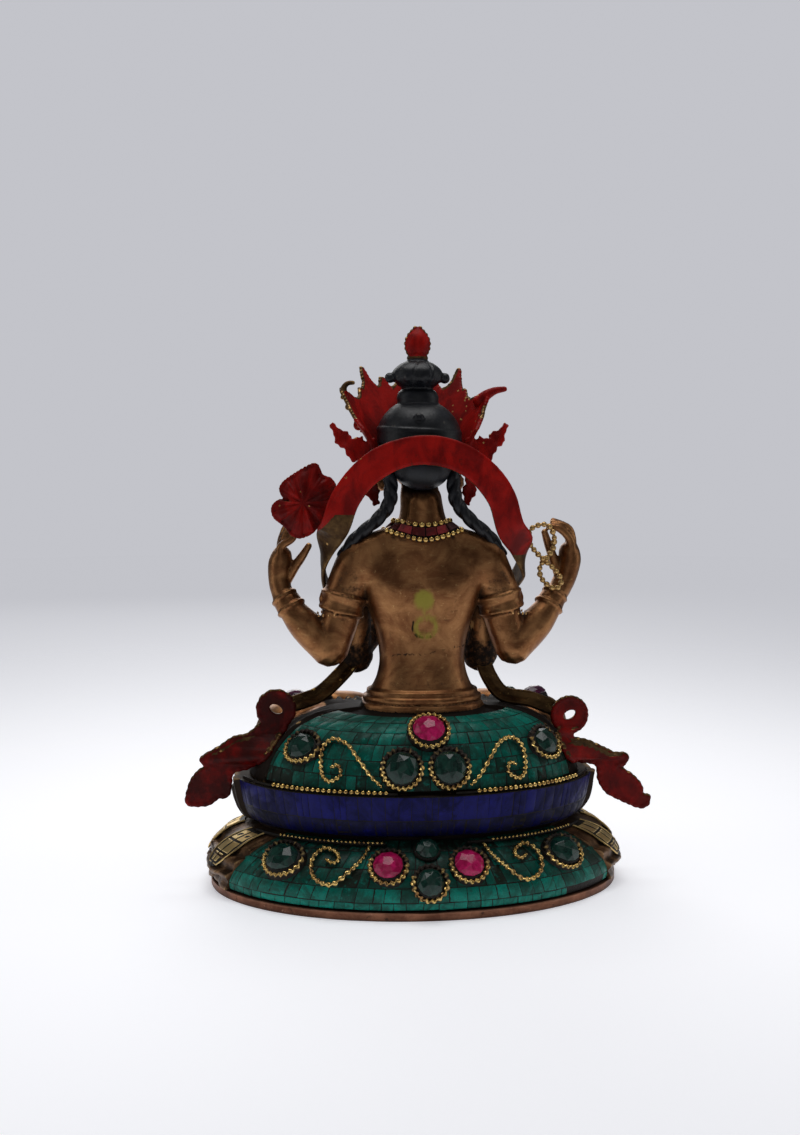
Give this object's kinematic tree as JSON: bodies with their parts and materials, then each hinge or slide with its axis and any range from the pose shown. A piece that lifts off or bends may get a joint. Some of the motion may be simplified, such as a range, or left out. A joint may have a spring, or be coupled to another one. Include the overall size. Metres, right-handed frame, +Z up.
{
  "type": "seated deity statue",
  "caption": "Seated Avalokiteshvara statue of cast copper alloy, with red paint, stone mosaic and set stones, on an oval lotus pedestal, for a shelf or shrine.",
  "frame": {"origin": "middle of the underside of the base plate", "axes": "+Z up, the figure faces -Y, +X towards the figure's left hand"},
  "size_m": [0.1701, 0.1101, 0.2026],
  "materials": {
    "copper": "satin",
    "bronze": "satin",
    "red_paint": "satin",
    "turquoise": "satin",
    "lapis": "satin",
    "coral": "satin",
    "ruby_stone": "polished",
    "emerald_stone": "polished",
    "amethyst_stone": "polished",
    "brass_wire": "satin"
  },
  "bodies": {
    "root": {"base_plate": "copper", "lotus_pedestal": "bronze", "figure": "bronze", "rosary": "bronze", "lower_turquoise_mosaic": "turquoise", "upper_turquoise_mosaic": "turquoise", "lapis_mosaic_band": "lapis", "crown": "red_paint", "topknot_jewel": "red_paint", "arched_scarf": "red_paint", "left_scarf_tail": "red_paint", "right_scarf_tail": "red_paint", "lotus_flower": "red_paint", "necklace_back": "coral", "necklace_front": "coral", "left_knee_stone": "amethyst_stone", "right_knee_stone": "amethyst_stone", "left_thigh_stone": "emerald_stone", "right_thigh_stone": "emerald_stone", "upper_ruby_stone": "ruby_stone", "upper_left_green_stone": "emerald_stone", "upper_right_green_stone": "emerald_stone", "upper_left_drop_stone": "emerald_stone", "upper_right_drop_stone": "emerald_stone", "lower_left_ruby_stone": "ruby_stone", "lower_right_ruby_stone": "ruby_stone", "lower_top_green_stone": "emerald_stone", "lower_bottom_green_stone": "emerald_stone", "lower_left_drop_stone": "emerald_stone", "lower_right_drop_stone": "emerald_stone", "upper_ruby_bezel": "brass_wire", "upper_left_green_bezel": "brass_wire", "upper_right_green_bezel": "brass_wire", "upper_left_drop_bezel": "brass_wire", "upper_right_drop_bezel": "brass_wire", "lower_left_ruby_bezel": "brass_wire", "lower_right_ruby_bezel": "brass_wire", "lower_bottom_green_bezel": "brass_wire", "lower_left_drop_bezel": "brass_wire", "lower_right_drop_bezel": "brass_wire", "upper_left_scroll": "brass_wire", "upper_right_scroll": "brass_wire", "lower_left_scroll": "brass_wire", "lower_right_scroll": "brass_wire", "left_rim_bead_row": "brass_wire", "right_rim_bead_row": "brass_wire", "left_waist_bead_row": "brass_wire", "right_waist_bead_row": "brass_wire"}
  },
  "joints": []
}
